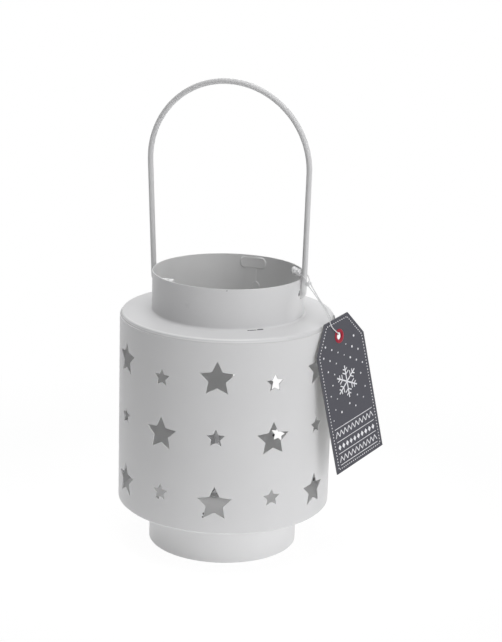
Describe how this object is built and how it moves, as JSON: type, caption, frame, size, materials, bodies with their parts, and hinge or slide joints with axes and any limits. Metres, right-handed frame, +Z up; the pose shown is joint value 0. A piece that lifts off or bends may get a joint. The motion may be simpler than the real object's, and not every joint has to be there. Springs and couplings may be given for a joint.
{
  "type": "candle lantern",
  "caption": "Round sheet-metal candle lantern with punched stars, a narrower open neck and foot, a swinging wire bail, a loose glass candle cup inside and a hang tag on a string.",
  "frame": {"origin": "centre of the foot ring's underside, where the lantern's axis meets the table", "axes": "+Z up along the lantern's axis, X along the handle's hinge, front towards -Y"},
  "size_m": [0.1342, 0.11, 0.2415],
  "materials": {
    "painted_sheet": "satin pale grey paint on thin steel sheet",
    "painted_wire": "satin pale grey paint on steel wire",
    "clear_glass": "clear pressed glass",
    "printed_card": "matt dark slate print on card",
    "red_eyelet": "gloss red ring",
    "white_plastic": "white moulded plastic",
    "white_string": "thin white cord"
  },
  "bodies": {
    "shell": {"body_wall": "painted_sheet", "shoulder_plate": "painted_sheet", "neck_collar": "painted_sheet", "base_pan": "painted_sheet", "foot_ring": "painted_sheet", "tag_lock": "white_plastic", "tag_string": "white_string"},
    "bail": {"bail_handle": "painted_wire"},
    "glass": {"glass_cup": "clear_glass"},
    "tag": {"tag_card": "printed_card", "tag_eyelet": "red_eyelet"}
  },
  "joints": [
    {"name": "bail_swing", "type": "hinge", "parent": "shell", "child": "bail", "pos_m": [0, 0, 0.1343], "axis": [1, 0, 0], "range_deg": [-109, 103], "deforming": ["tag_string"]},
    {"name": "glass_lift", "type": "slide", "parent": "shell", "child": "glass", "axis": [0, 0, 1], "range_m": [0, 0.125]},
    {"name": "tag_swing", "type": "hinge", "parent": "shell", "child": "tag", "pos_m": [0.05788, -0.00178, 0.12559], "axis": [-0.3358, -0.9303, -0.1474], "range_deg": [0, 70], "deforming": ["tag_string"]}
  ]
}
